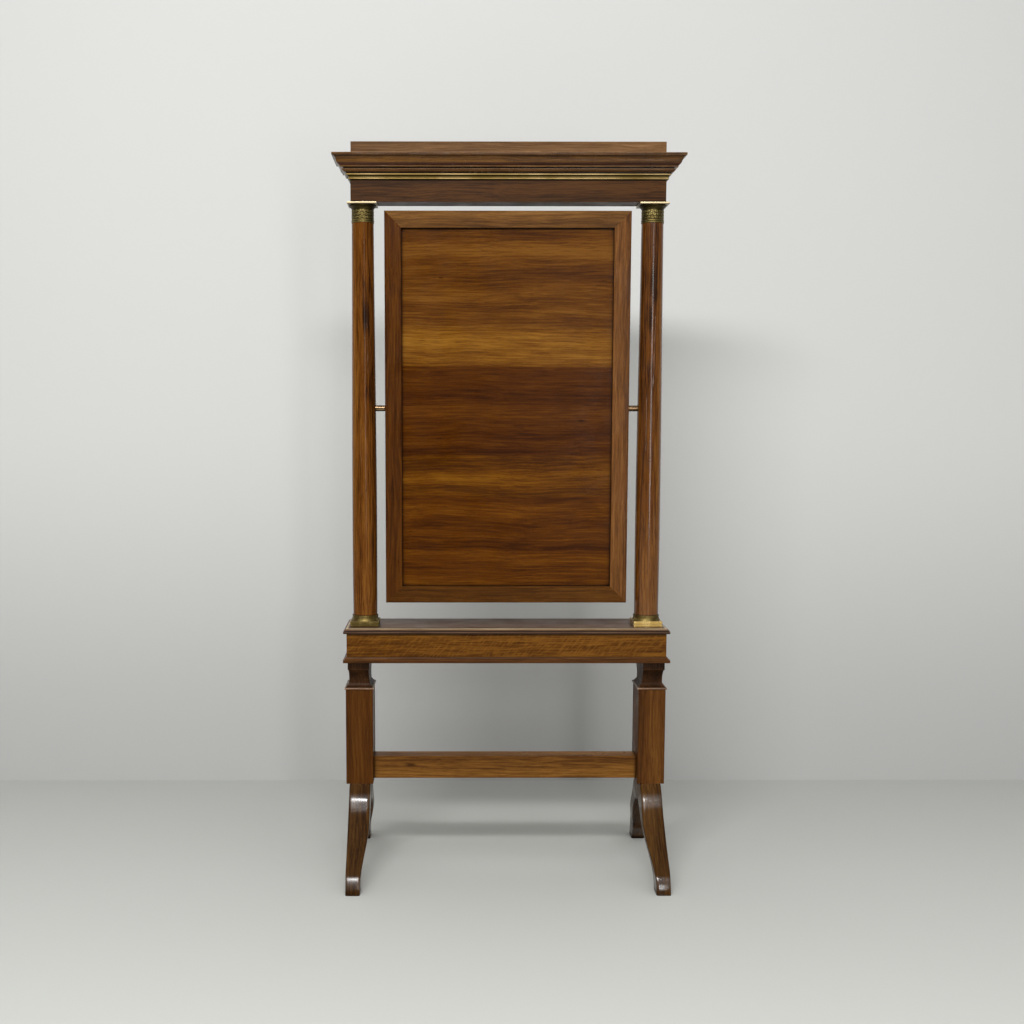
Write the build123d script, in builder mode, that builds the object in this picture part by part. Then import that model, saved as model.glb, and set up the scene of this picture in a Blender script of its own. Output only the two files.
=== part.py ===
from build123d import *
import os

os.makedirs("parts", exist_ok=True)

# Free-standing dressing mirror: a tilting framed glass between two columns,
# which stand on a drawer case carried by two posts on sabre legs.
# +Z is up and the floor is z = 0. The glass and the drawer face +Y, and the
# wooden back of the mirror faces -Y. Left is -X and right is +X. Millimetres.

# Heights, stacked from the floor up
leg_height = 241.0
post_height = 262.5
cap_thickness = 5.0
neck_height = 76.0
base_board_thickness = 15.0
case_height = 63.5
top_board_thickness = 15.0
plinth_height = 15.0
base_ring_height = 14.5
capital_height = 46.0
abacus_thickness = 5.0
frieze_height = 56.0
brass_height = 14.0
moulding_height = 41.0
cornice_board_thickness = 6.0
attic_height = 36.0

# Plan sizes of the stand
post_inset = 30.5
post_width = 73.5
post_depth = 105.4
cap_overhang = 3.0
cap_rounding = 1.5
column_inset = 47.5
case_depth = 173.0
case_wall = 16.0
end_block_width = 77.0
top_board_overhang = 8.5
base_board_overhang = 9.5
stretcher_depth = 51.0
stretcher_height = 62.0
stretcher_lift = 8.5

# Columns and what they carry
column_setback = 30.0
shaft_foot_radius = 32.3
shaft_belly_radius = 33.0
shaft_belly_height = 345.0
shaft_head_radius = 28.8
plinth_width = 76.6
abacus_width = 76.6
beam_overrun = 29.5
frieze_depth = 66.0
cornice_reach = 45.0
attic_inset = 1.0

# Tilting mirror
mirror_width = 649.0
mirror_height = 1036.0
mirror_thickness = 33.0
mirror_member_width = 44.0
mirror_head_room = 19.5
mirror_foot_room = 63.5
mirror_side_room = 24.0
panel_recess = 9.0
panel_thickness = 9.0
rebate_depth = 10.0
glass_thickness = 4.0
glass_gap = 1.0
pivot_above_centre = 4.0

# Pivots
collar_diameter = 16.0
journal_diameter = 12.0
journal_length = 17.0
running_clearance = 0.05
pivot_end_gap = 0.5
bush_diameter = 20.0
bush_floor = 2.0
plate_height = 74.0
plate_width = 20.0
plate_thickness = 3.0
screw_diameter = 4.0
screw_head_diameter = 8.0
screw_length = 20.0
screw_spacing = 54.0
seat_from_axis = 30.0
tail_diameter = 10.0
tail_length = 24.0

# Drawer
drawer_side_gap = 1.0
drawer_face_gap = 0.8
drawer_front_thickness = 18.0
drawer_wall = 10.0
drawer_side_height = 54.0
drawer_back_gap = 5.0
drawer_floor_thickness = 5.0
drawer_floor_lift = 6.0
groove_depth = 4.0
runner_height = 4.0
runner_width = 14.0
slide_clearance = 0.3
stop_height = 8.0
stop_length = 30.0
stop_depth = 10.0
knob_spacing = 400.0
knob_diameter = 22.0
knob_reach = 26.0
knob_shank_diameter = 5.0
nut_across_flats = 10.0
nut_thickness = 3.5

# Joinery
tenon_gap = 0.1
column_tenon_diameter = 30.0
column_tenon_in_case = 35.0
column_tenon_in_beam = 20.0
neck_tenon_diameter = 28.0
neck_tenon_up = 20.0
neck_tenon_down = 30.0
leg_dowel_diameter = 20.0
leg_dowel_length = 25.0
leg_dowel_offset = 28.0
stretcher_tenon_depth = 22.0
stretcher_tenon_height = 44.0
stretcher_tenon_length = 20.0
arris = 1.0

# Sabre leg: reach and shape
leg_reach = 252.0
leg_heel = 202.0
leg_top_width = 58.0
leg_foot_width = 38.5
leg_foot_outset = 7.25

# Levels worked out from the stack
post_top = leg_height + post_height
cap_top = post_top + cap_thickness
neck_top = cap_top + neck_height
case_bottom = neck_top + base_board_thickness
case_top = case_bottom + case_height
shelf_level = case_top + top_board_thickness
plinth_top = shelf_level + plinth_height
shaft_foot = plinth_top + base_ring_height
frieze_foot = shelf_level + mirror_foot_room + mirror_height + mirror_head_room
capital_top = frieze_foot - abacus_thickness
shaft_head = capital_top - capital_height
brass_foot = frieze_foot + frieze_height
moulding_foot = brass_foot + brass_height
moulding_top = moulding_foot + moulding_height
attic_foot = moulding_top + cornice_board_thickness

# Places worked out from the plan sizes, outwards from the mirror: the columns
# clear it, the case takes the columns, and the posts stand under its ends
column_spacing = mirror_width + 2 * (mirror_side_room + shaft_belly_radius)
case_length = column_spacing + 2 * column_inset
post_spacing = case_length - 2 * post_inset
post_x = post_spacing / 2
column_x = column_spacing / 2
column_y = -column_setback
frieze_length = column_spacing + 2 * beam_overrun
case_front = case_depth / 2
case_rear = -case_depth / 2
block_inner = case_length / 2 - end_block_width
block_rear = case_rear + case_wall
mirror_top = frieze_foot - mirror_head_room
mirror_centre_z = mirror_top - mirror_height / 2
pivot_z = mirror_centre_z + pivot_above_centre
mirror_front = mirror_thickness / 2
mirror_rear = -mirror_thickness / 2
sides = {"left": -1, "right": 1}
UP = Vector(0, 0, 1)
FRONT = Vector(0, 1, 0)
RIGHT = Vector(1, 0, 0)


def save(piece, name):
    """Label one finished piece and write it to its own file."""
    piece.label = name
    export_step(piece, f"parts/{name}.step")


def block(low, high):
    """A plain board between two opposite corners, in the current part."""
    size = Vector(*high) - Vector(*low)
    with Locations(Vector(*low) + size / 2):
        Box(size.X, size.Y, size.Z)


def bore(centre, radius, low, high):
    """A vertical round hole through the current part, between two levels."""
    with Locations((centre[0], centre[1], (low + high) / 2)):
        Cylinder(radius, high - low, mode=Mode.SUBTRACT)


def peg(centre, radius, low, high):
    """A vertical round tenon added to the current part, between two levels."""
    with Locations((centre[0], centre[1], (low + high) / 2)):
        Cylinder(radius, high - low)


def mitred_member(draw_outline, centre, outward, rise, reach, length):
    """A bar along one side of a rectangle, mitred at both ends.

    draw_outline draws the section, x pointing outward from the side of the
    rectangle and y along rise. length is the side of the rectangle.
    """
    along = outward.cross(rise)
    face = centre + outward * reach
    overrun = cornice_reach + mirror_member_width
    with BuildPart() as member:
        with BuildSketch(Plane(origin=face, x_dir=outward, z_dir=along)):
            with BuildLine():
                draw_outline()
            make_face()
        extrude(amount=length / 2 + overrun, both=True)
        for end in (1, -1):
            mitre = Plane(origin=face + along * (end * length / 2), z_dir=along * end - outward)
            split(bisect_by=mitre, keep=Keep.BOTTOM)
    return member.part


def moulded_board(half_outline, length, depth, level):
    """A board with the same moulded edge on all four sides.

    half_outline gives the points and arcs of the edge for a half width.
    """
    with BuildPart() as board:
        with BuildSketch(Plane.XZ):
            with BuildLine():
                half_outline(length / 2, level)
            make_face()
            mirror(about=Plane.YZ)
        extrude(amount=depth, both=True)
        with BuildSketch(Plane.YZ):
            with BuildLine():
                half_outline(depth / 2, level)
            make_face()
            mirror(about=Plane.YZ)
        extrude(amount=length, both=True, mode=Mode.INTERSECT)
    return board.part


# Sabre legs: two under each post, front and rear, meeting under its middle
knee = (79.0, 211.0)
shin = (99.0, 176.0)
bend = (127.0, 142.0)
slope = (194.0, 80.0)
toe_crown = (226.0, 53.0)
toe_nose = (244.0, 27.0)
arch_crown = 192.0
arch_points = ((20.0, 181.0), (45.0, 161.0), (75.0, 134.0), (158.0, 60.0), (186.0, 27.0))
taper_top = 150.0
taper_foot = 25.0


def leg(side, front):
    with BuildPart() as sabre_leg:
        with BuildSketch(Plane.YZ):
            with BuildLine():
                Line((0, arch_crown), (0, leg_height))
                Line((0, leg_height), (front * post_depth / 2, leg_height))
                upper = [knee, shin, bend, slope, toe_crown, toe_nose]
                Spline(
                    [(front * post_depth / 2, leg_height)]
                    + [(front * y, z) for y, z in upper]
                    + [(front * leg_reach, 0)]
                )
                Line((front * leg_reach, 0), (front * leg_heel, 0))
                under = [(front * y, z) for y, z in reversed(arch_points)]
                Spline([(front * leg_heel, 0)] + under + [(0, arch_crown)])
            make_face()
        extrude(amount=post_spacing, both=True)
        outer_top = side * (post_x + leg_top_width / 2)
        inner_top = side * (post_x - leg_top_width / 2)
        outer_foot = side * (post_x + leg_foot_outset + leg_foot_width / 2)
        inner_foot = side * (post_x + leg_foot_outset - leg_foot_width / 2)
        with BuildSketch(Plane.XZ):
            with BuildLine():
                Line((inner_foot, 0), (outer_foot, 0))
                Line((outer_foot, 0), (outer_top, taper_top))
                Line((outer_top, taper_top), (outer_top, leg_height))
                Line((outer_top, leg_height), (inner_top, leg_height))
                Line((inner_top, leg_height), (inner_top, taper_top))
                Spline(
                    (inner_top, taper_top),
                    ((inner_top + inner_foot) / 2, (taper_top + taper_foot) / 2),
                    (inner_foot, taper_foot),
                    tangents=((0, -1), (0, -1)),
                )
                Line((inner_foot, taper_foot), (inner_foot, 0))
            make_face()
        extrude(amount=2 * leg_reach, both=True, mode=Mode.INTERSECT)
        peg(
            (side * post_x, front * leg_dowel_offset),
            leg_dowel_diameter / 2,
            leg_height - leg_dowel_length,
            leg_height + leg_dowel_length,
        )
    return sabre_leg.part


for side_name, side in sides.items():
    for end_name, front in {"front": 1, "rear": -1}.items():
        save(leg(side, front), f"leg_{end_name}_{side_name}")


# Posts: square uprights, mortised for the stretcher, bored for the leg dowels
stretcher_bottom = leg_height + stretcher_lift
stretcher_z = stretcher_bottom + stretcher_height / 2


def post(side):
    with BuildPart() as upright:
        block(
            (side * post_x - post_width / 2, -post_depth / 2, leg_height),
            (side * post_x + post_width / 2, post_depth / 2, post_top),
        )
        chamfer(upright.edges().filter_by(Axis.Z), arris)
        for front in (1, -1):
            bore(
                (side * post_x, front * leg_dowel_offset),
                leg_dowel_diameter / 2 + tenon_gap,
                leg_height,
                leg_height + leg_dowel_length + 1,
            )
        bore(
            (side * post_x, 0),
            neck_tenon_diameter / 2 + tenon_gap,
            post_top - neck_tenon_down - 1,
            post_top,
        )
        mortise_x = side * (post_x - post_width / 2 + stretcher_tenon_length / 2)
        with Locations((mortise_x, 0, stretcher_z)):
            Box(
                stretcher_tenon_length,
                stretcher_tenon_depth,
                stretcher_tenon_height,
                mode=Mode.SUBTRACT,
            )
    return upright.part


def post_cap(side):
    """Thin plate with a rounded edge between the post and its neck."""
    with BuildPart() as cap:
        block(
            (side * post_x - post_width / 2 - cap_overhang, -post_depth / 2 - cap_overhang, post_top),
            (side * post_x + post_width / 2 + cap_overhang, post_depth / 2 + cap_overhang, cap_top),
        )
        fillet(cap.edges().filter_by(Axis.Z, reverse=True), cap_rounding)
        bore((side * post_x, 0), neck_tenon_diameter / 2 + tenon_gap, post_top, cap_top)
    return cap.part


# Necks: blocks hollowed on every side, between the posts and the case
neck_top_width = 58.0
neck_top_depth = 150.0
neck_block_height = 22.5
neck_step = 1.5
neck_waist_width = 56.0
neck_waist_depth = 86.0
neck_waist_rise = 11.0
neck_waist_height = 3.0
neck_hollow = 5.0


def neck_outline(top_half, waist_half, foot_half, hollow):
    """Half outline: block at the top, hollow down to the waist, flare at the foot."""
    block_foot = neck_top - neck_block_height
    waist_foot = cap_top + neck_waist_rise
    waist_head = waist_foot + neck_waist_height
    Line((0, cap_top), (foot_half, cap_top))
    flare = SagittaArc((foot_half, cap_top), (waist_half, waist_foot), hollow / 3)
    Line(flare @ 1, (waist_half, waist_head))
    scoop = SagittaArc((waist_half, waist_head), (top_half - neck_step, block_foot), hollow)
    Line(scoop @ 1, (top_half, block_foot))
    Line((top_half, block_foot), (top_half, neck_top))
    Line((top_half, neck_top), (0, neck_top))
    Line((0, neck_top), (0, cap_top))


def neck(side):
    post_axis = Plane.XZ.shift_origin((side * post_x, 0, 0))
    with BuildPart() as neck_block:
        with BuildSketch(post_axis):
            with BuildLine():
                neck_outline(neck_top_width / 2, neck_waist_width / 2, post_width / 2, neck_step / 2)
            make_face()
            mirror(about=Plane.YZ)
        extrude(amount=case_depth, both=True)
        with BuildSketch(Plane.YZ):
            with BuildLine():
                neck_outline(neck_top_depth / 2, neck_waist_depth / 2, post_depth / 2, neck_hollow)
            make_face()
            mirror(about=Plane.YZ)
        extrude(amount=post_spacing, both=True, mode=Mode.INTERSECT)
        peg(
            (side * post_x, 0),
            neck_tenon_diameter / 2,
            post_top - neck_tenon_down,
            case_bottom + neck_tenon_up,
        )
    return neck_block.part


for side_name, side in sides.items():
    save(post(side), f"post_{side_name}")
    save(post_cap(side), f"post_cap_{side_name}")
    save(neck(side), f"neck_{side_name}")


# Stretcher: low rail between the posts, tenoned into both
stretcher_length = post_spacing - post_width

with BuildPart() as stretcher:
    with Locations((0, 0, stretcher_z)):
        Box(stretcher_length, stretcher_depth, stretcher_height)
    chamfer(stretcher.edges().filter_by(Axis.X), arris)
    with Locations((0, 0, stretcher_z)):
        Box(
            stretcher_length + 2 * stretcher_tenon_length,
            stretcher_tenon_depth,
            stretcher_tenon_height,
        )
save(stretcher.part, "stretcher")


# Drawer case: base board and top board with moulded edges, a rear board,
# and a solid block at each end that ties the column above to the post below
base_fillet = 7.5
base_ledge = 2.0
base_shoulder = 1.5
base_hollow = 1.2
nose_width = 14.0
nose_step = 1.5
nose_drop = 5.0
nose_bulge = 1.4
quirk_depth = 3.0
quirk_height = 1.5
lip_height = 6.0
lip_chamfer = 1.5


def base_edge(half, level):
    """Half outline of the base board: fillet below, hollow above."""
    top = level + base_board_thickness
    ledge = half - base_board_overhang + base_ledge
    Line((0, level), (half, level))
    Line((half, level), (half, level + base_fillet))
    Line((half, level + base_fillet), (half - base_shoulder, level + base_fillet))
    hollow = SagittaArc(
        (half - base_shoulder, level + base_fillet), (ledge, top), base_hollow
    )
    Line(hollow @ 1, (0, top))
    Line((0, top), (0, level))


def top_edge(half, level):
    """Half outline of the top board: sunk rounded nose, quirk and lip."""
    top = level + top_board_thickness
    nose_top = top - nose_step
    nose_foot = nose_top - nose_drop
    quirk = half - quirk_depth
    Line((0, level), (half - lip_chamfer, level))
    Line((half - lip_chamfer, level), (half, level + lip_chamfer))
    Line((half, level + lip_chamfer), (half, level + lip_height))
    Line((half, level + lip_height), (quirk, level + lip_height))
    Line((quirk, level + lip_height), (quirk, level + lip_height + quirk_height))
    Line((quirk, level + lip_height + quirk_height), (half - arris, nose_foot))
    nose = SagittaArc((half - arris, nose_foot), (half - nose_width, nose_top), -nose_bulge)
    Line(nose @ 1, (half - nose_width, top))
    Line((half - nose_width, top), (0, top))
    Line((0, top), (0, level))


base_length = case_length + 2 * base_board_overhang
base_depth = case_depth + 2 * base_board_overhang
top_length = case_length + 2 * top_board_overhang
top_depth = case_depth + 2 * top_board_overhang

with BuildPart() as base_board:
    add(moulded_board(base_edge, base_length, base_depth, neck_top))
    for side in sides.values():
        bore((side * post_x, 0), neck_tenon_diameter / 2 + tenon_gap, neck_top, case_bottom)
save(base_board.part, "base_board")

with BuildPart() as top_board:
    add(moulded_board(top_edge, top_length, top_depth, case_top))
    for side in sides.values():
        bore(
            (side * column_x, column_y),
            column_tenon_diameter / 2 + tenon_gap,
            case_top,
            shelf_level,
        )
save(top_board.part, "top_board")

with BuildPart() as rear_board:
    block(
        (-case_length / 2, case_rear, case_bottom),
        (case_length / 2, block_rear, case_top),
    )
save(rear_board.part, "rear_board")


def end_block(side):
    with BuildPart() as end:
        centre_x = side * (block_inner + end_block_width / 2)
        with Locations((centre_x, (block_rear + case_front) / 2, (case_bottom + case_top) / 2)):
            Box(end_block_width, case_front - block_rear, case_height)
        bore(
            (side * column_x, column_y),
            column_tenon_diameter / 2 + tenon_gap,
            case_top - column_tenon_in_case - 1,
            case_top,
        )
        bore(
            (side * post_x, 0),
            neck_tenon_diameter / 2 + tenon_gap,
            case_bottom,
            case_bottom + neck_tenon_up + 1,
        )
    return end.part


for side_name, side in sides.items():
    save(end_block(side), f"end_block_{side_name}")


# Drawer: full height of the case between the end blocks, opening forwards
drawer_half = block_inner - drawer_side_gap
front_inner = case_front - drawer_front_thickness
drawer_rear = block_rear + drawer_back_gap
side_foot = case_bottom + runner_height + slide_clearance
side_head = side_foot + drawer_side_height
floor_foot = side_foot + drawer_floor_lift
floor_top = floor_foot + drawer_floor_thickness
drawer_inner = drawer_half - drawer_wall
knob_z = (case_bottom + case_top) / 2
groove_slack = 0.2

with BuildPart() as drawer_front:
    block(
        (-drawer_half, front_inner, case_bottom + drawer_face_gap),
        (drawer_half, case_front, case_top - drawer_face_gap),
    )
    with Locations((0, front_inner + groove_depth / 2, (floor_foot + floor_top) / 2)):
        groove_length = 2 * (drawer_inner + groove_depth)
        Box(groove_length, groove_depth, drawer_floor_thickness, mode=Mode.SUBTRACT)
    with Locations(Plane.XZ.offset(-case_front)):
        with Locations((-knob_spacing / 2, knob_z), (knob_spacing / 2, knob_z)):
            Cylinder(
                knob_shank_diameter / 2 + tenon_gap,
                3 * drawer_front_thickness,
                mode=Mode.SUBTRACT,
            )
save(drawer_front.part, "drawer_front")


def drawer_side(side):
    with BuildPart() as wall:
        centre_x = side * (drawer_half - drawer_wall / 2)
        with Locations((centre_x, (drawer_rear + front_inner) / 2, (side_foot + side_head) / 2)):
            Box(drawer_wall, front_inner - drawer_rear, drawer_side_height)
        groove_x = side * (drawer_inner + groove_depth / 2)
        with Locations((groove_x, (drawer_rear + front_inner) / 2, (floor_foot + floor_top) / 2)):
            Box(
                groove_depth,
                front_inner - drawer_rear,
                drawer_floor_thickness,
                mode=Mode.SUBTRACT,
            )
    return wall.part


for side_name, side in sides.items():
    save(drawer_side(side), f"drawer_side_{side_name}")

with BuildPart() as drawer_back:
    block(
        (-drawer_inner, drawer_rear, floor_top),
        (drawer_inner, drawer_rear + drawer_wall, side_head),
    )
save(drawer_back.part, "drawer_back")

with BuildPart() as drawer_floor:
    floor_half = drawer_inner + groove_depth - groove_slack
    block(
        (-floor_half, drawer_rear, floor_foot),
        (floor_half, front_inner + groove_depth - groove_slack, floor_top),
    )
save(drawer_floor.part, "drawer_floor")

with BuildPart() as drawer_runners:
    for side in sides.values():
        runner_x = side * (drawer_half - runner_width / 2)
        runner_y = (block_rear + front_inner - stop_depth) / 2
        with Locations((runner_x, runner_y, case_bottom + runner_height / 2)):
            Box(runner_width, front_inner - stop_depth - block_rear, runner_height)
save(drawer_runners.part, "drawer_runners")

with BuildPart() as drawer_stops:
    stop_y = front_inner - slide_clearance - stop_depth / 2
    for side in sides.values():
        with Locations((side * knob_spacing / 2, stop_y, case_bottom + stop_height / 2)):
            Box(stop_length, stop_depth, stop_height)
save(drawer_stops.part, "drawer_stops")


# Turned brass knobs with a threaded shank through the drawer front
rose_thickness = 2.0
knob_neck_radius = 4.0
rose_radius = 9.0


def drawer_knob(side):
    axis = Plane(
        origin=(side * knob_spacing / 2, case_front, knob_z),
        x_dir=RIGHT,
        z_dir=UP,
    )
    ball_radius = knob_diameter / 2
    ball_middle = knob_reach - ball_radius
    ball_foot = ball_middle - (ball_radius**2 - knob_neck_radius**2) ** 0.5
    with BuildPart() as knob:
        with BuildSketch(axis):
            with BuildLine():
                shank_end = -drawer_front_thickness - nut_thickness - 1
                shank_radius = knob_shank_diameter / 2
                Line((0, knob_reach), (0, shank_end))
                Line((0, shank_end), (shank_radius, shank_end))
                Line((shank_radius, shank_end), (shank_radius, 0))
                Line((shank_radius, 0), (rose_radius, 0))
                Line((rose_radius, 0), (rose_radius, rose_thickness))
                Line((rose_radius, rose_thickness), (knob_neck_radius, rose_thickness))
                Line((knob_neck_radius, rose_thickness), (knob_neck_radius, ball_foot))
                ThreePointArc(
                    (knob_neck_radius, ball_foot),
                    (ball_radius, ball_middle),
                    (0, knob_reach),
                )
            make_face()
        revolve(axis=Axis(axis.origin, FRONT))
    return knob.part


for side_name, side in sides.items():
    save(drawer_knob(side), f"drawer_knob_{side_name}")

with BuildPart() as knob_nuts:
    with BuildSketch(Plane.XZ.offset(-front_inner + nut_thickness)):
        with Locations((-knob_spacing / 2, knob_z), (knob_spacing / 2, knob_z)):
            RegularPolygon(nut_across_flats / 2, 6, major_radius=False)
            Circle(knob_shank_diameter / 2 + running_clearance, mode=Mode.SUBTRACT)
    extrude(amount=-nut_thickness)
save(knob_nuts.part, "knob_nuts")


# Columns: brass plinth and ring, turned shaft, brass capital and abacus
plinth_groove = 1.5
plinth_groove_height = 2.0
ring_top_radius = 34.8
ring_foot_radius = 37.6
ring_fillet = 2.5
ring_hollow = 1.2
astragal_height = 9.0
astragal_radius = 30.2
drum_radius = 29.0
echinus_height = 12.0
echinus_radius = 36.0
capital_fillet = 2.0
abacus_fillet = 0.8


def plinth(side):
    with BuildPart() as square_plinth:
        centre = (side * column_x, column_y)
        with Locations((*centre, shelf_level + plinth_height / 2)):
            Box(plinth_width, plinth_width, plinth_height)
        with BuildSketch(Plane.XY.offset(shelf_level + (plinth_height - plinth_groove_height) / 2)):
            with Locations(centre):
                Rectangle(plinth_width, plinth_width)
                core = plinth_width - 2 * plinth_groove
                Rectangle(core, core, mode=Mode.SUBTRACT)
        extrude(amount=plinth_groove_height, mode=Mode.SUBTRACT)
        bore(centre, column_tenon_diameter / 2 + tenon_gap, shelf_level, plinth_top)
    return square_plinth.part


def turned(side, draw_outline):
    """A piece turned about a column's axis from half an outline of radius and level."""
    with BuildPart() as turning:
        with BuildSketch(Plane(origin=(side * column_x, column_y, 0), x_dir=RIGHT, z_dir=-FRONT)):
            with BuildLine():
                draw_outline()
            make_face()
        revolve(axis=Axis((side * column_x, column_y, 0), UP))
    return turning.part


def ring_outline():
    inner = column_tenon_diameter / 2 + tenon_gap
    Line((inner, plinth_top), (ring_foot_radius, plinth_top))
    flare = SagittaArc(
        (ring_foot_radius, plinth_top),
        (ring_top_radius, shaft_foot - ring_fillet),
        ring_hollow,
    )
    Line(flare @ 1, (ring_top_radius, shaft_foot))
    Line((ring_top_radius, shaft_foot), (inner, shaft_foot))
    Line((inner, shaft_foot), (inner, plinth_top))


def shaft_outline():
    """Shaft that swells a little above its foot, with a round tenon at each end."""
    tenon = column_tenon_diameter / 2
    tenon_foot = case_top - column_tenon_in_case
    tenon_head = frieze_foot + column_tenon_in_beam
    belly_level = shaft_foot + shaft_belly_height
    taper_mid = (
        (shaft_belly_radius + shaft_head_radius) / 2,
        (belly_level + shaft_head) / 2,
    )
    Line((0, tenon_foot), (tenon, tenon_foot))
    Line((tenon, tenon_foot), (tenon, shaft_foot))
    Line((tenon, shaft_foot), (shaft_foot_radius, shaft_foot))
    Spline(
        (shaft_foot_radius, shaft_foot),
        (shaft_belly_radius, belly_level),
        taper_mid,
        (shaft_head_radius, shaft_head),
    )
    Line((shaft_head_radius, shaft_head), (tenon, shaft_head))
    Line((tenon, shaft_head), (tenon, tenon_head))
    Line((tenon, tenon_head), (0, tenon_head))
    Line((0, tenon_head), (0, tenon_foot))


def capital_outline():
    inner = column_tenon_diameter / 2 + tenon_gap
    astragal_top = shaft_head + astragal_height
    echinus_foot = capital_top - echinus_height
    fillet_foot = capital_top - capital_fillet
    Line((inner, shaft_head), (drum_radius, shaft_head))
    ThreePointArc(
        (drum_radius, shaft_head),
        (astragal_radius, shaft_head + astragal_height / 2),
        (drum_radius, astragal_top),
    )
    Line((drum_radius, astragal_top), (drum_radius, echinus_foot))
    SagittaArc((drum_radius, echinus_foot), (echinus_radius, fillet_foot), ring_hollow)
    Line((echinus_radius, fillet_foot), (echinus_radius, capital_top))
    Line((echinus_radius, capital_top), (inner, capital_top))
    Line((inner, capital_top), (inner, shaft_head))


def abacus(side):
    with BuildPart() as plate:
        with Locations((side * column_x, column_y, capital_top + abacus_thickness / 2)):
            Box(abacus_width, abacus_width, abacus_thickness)
        fillet(plate.edges().filter_by(Axis.Z), abacus_fillet)
        bore(
            (side * column_x, column_y),
            column_tenon_diameter / 2 + tenon_gap,
            capital_top,
            frieze_foot,
        )
    return plate.part


def column(side):
    """The shaft, with a flat seat and a bore for the pivot on its inner side."""
    seat_depth = shaft_belly_radius - seat_from_axis
    with BuildPart() as shaft:
        add(turned(side, shaft_outline))
        inward = Plane(
            origin=(side * (column_x - seat_from_axis), column_y, pivot_z),
            x_dir=UP,
            z_dir=RIGHT * -side,
        )
        with BuildSketch(inward):
            Circle(collar_diameter / 2 + tenon_gap)
        extrude(amount=seat_depth, mode=Mode.SUBTRACT)
        with BuildSketch(inward):
            Circle(tail_diameter / 2 + tenon_gap)
        extrude(amount=-tail_length - 1, mode=Mode.SUBTRACT)
    return shaft.part


for side_name, side in sides.items():
    save(plinth(side), f"plinth_{side_name}")
    save(turned(side, ring_outline), f"base_ring_{side_name}")
    save(column(side), f"column_{side_name}")
    save(turned(side, capital_outline), f"capital_{side_name}")
    save(abacus(side), f"abacus_{side_name}")


# Entablature: a solid beam, brass and wooden mouldings mitred round it,
# a thin cornice board over them and a low attic block on top
with BuildPart() as frieze_beam:
    with Locations((0, column_y, (frieze_foot + moulding_top) / 2)):
        Box(frieze_length, frieze_depth, moulding_top - frieze_foot)
    for side in sides.values():
        bore(
            (side * column_x, column_y),
            column_tenon_diameter / 2 + tenon_gap,
            frieze_foot,
            frieze_foot + column_tenon_in_beam + 1,
        )
save(frieze_beam.part, "frieze_beam")

bead_reach = 3.6
bead_height = 4.5
brass_hollow_reach = 8.5
brass_fillet_reach = 10.5
brass_fillet_height = 3.0
brass_bead_bulge = 2.0
brass_hollow = 0.9


def brass_outline():
    """Brass strip: round bead, hollow and square fillet above each other."""
    fillet_foot = brass_height - brass_fillet_height
    Line((0, 0), (bead_reach, 0))
    bead = SagittaArc((bead_reach, 0), (bead_reach, bead_height), -brass_bead_bulge)
    SagittaArc(bead @ 1, (brass_hollow_reach, fillet_foot), brass_hollow)
    Line((brass_hollow_reach, fillet_foot), (brass_fillet_reach, fillet_foot))
    Line((brass_fillet_reach, fillet_foot), (brass_fillet_reach, brass_height))
    Line((brass_fillet_reach, brass_height), (0, brass_height))
    Line((0, brass_height), (0, 0))


bed_foot_reach = 11.0
bed_quirk = 3.0
bed_shoulder = 13.5
bed_reach = 20.0
bed_head = 11.0
bed_bulge = 1.8
crown_back = 17.0
crown_fillet_reach = 26.0
crown_fillet_foot = 14.5
crown_fillet_head = 18.0
crown_waist = 34.5
crown_waist_height = 29.5
crown_reach = 43.0
crown_swell = 1.8


def moulding_outline():
    """Wooden cornice moulding: ovolo, fillet, and an S curve up to the board."""
    Line((0, 0), (bed_foot_reach, 0))
    Line((bed_foot_reach, 0), (bed_foot_reach, bed_quirk))
    Line((bed_foot_reach, bed_quirk), (bed_shoulder, bed_quirk))
    SagittaArc((bed_shoulder, bed_quirk), (bed_reach, bed_head), -bed_bulge)
    Line((bed_reach, bed_head), (crown_back, bed_head))
    Line((crown_back, bed_head), (crown_back, crown_fillet_foot))
    Line((crown_back, crown_fillet_foot), (crown_fillet_reach, crown_fillet_foot))
    Line((crown_fillet_reach, crown_fillet_foot), (crown_fillet_reach, crown_fillet_head))
    SagittaArc(
        (crown_fillet_reach, crown_fillet_head),
        (crown_waist, crown_waist_height),
        -crown_swell,
    )
    SagittaArc((crown_waist, crown_waist_height), (crown_reach, moulding_height), crown_swell)
    Line((crown_reach, moulding_height), (0, moulding_height))
    Line((0, moulding_height), (0, 0))


beam_sides = {
    "front": (FRONT, frieze_depth / 2, frieze_length),
    "rear": (-FRONT, frieze_depth / 2, frieze_length),
    "left": (-RIGHT, frieze_length / 2, frieze_depth),
    "right": (RIGHT, frieze_length / 2, frieze_depth),
}
for side_name, (outward, reach, length) in beam_sides.items():
    strip_centre = Vector(0, column_y, brass_foot)
    strip = mitred_member(brass_outline, strip_centre, outward, UP, reach, length)
    save(strip, f"brass_strip_{side_name}")
    moulding_centre = Vector(0, column_y, moulding_foot)
    moulding = mitred_member(moulding_outline, moulding_centre, outward, UP, reach, length)
    save(moulding, f"cornice_moulding_{side_name}")

with BuildPart() as cornice_board:
    with Locations((0, column_y, moulding_top + cornice_board_thickness / 2)):
        Box(
            frieze_length + 2 * cornice_reach,
            frieze_depth + 2 * cornice_reach,
            cornice_board_thickness,
        )
save(cornice_board.part, "cornice_board")

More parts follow.
